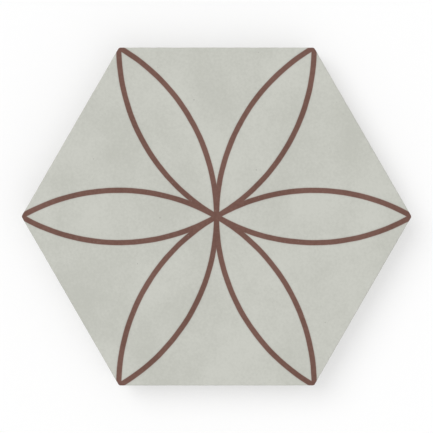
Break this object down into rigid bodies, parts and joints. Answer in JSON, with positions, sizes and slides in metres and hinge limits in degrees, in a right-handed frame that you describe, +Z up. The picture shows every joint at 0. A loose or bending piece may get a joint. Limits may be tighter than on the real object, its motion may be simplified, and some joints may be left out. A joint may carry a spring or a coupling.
{
  "type": "encaustic cement tile",
  "caption": "Hexagonal cement floor or wall tile with a flat pigmented face, sides that lean in towards the back and a flat back for bedding in adhesive.",
  "frame": {"origin": "middle of the back, on the surface that the tile lies on", "axes": "+Z up out of the patterned face; +X from the centre to a corner; +Y square to a side"},
  "size_m": [0.1994, 0.1732, 0.016],
  "materials": {
    "pigmented_cement": "matte"
  },
  "bodies": {
    "root": {"cement_tile": "pigmented_cement"}
  },
  "joints": []
}
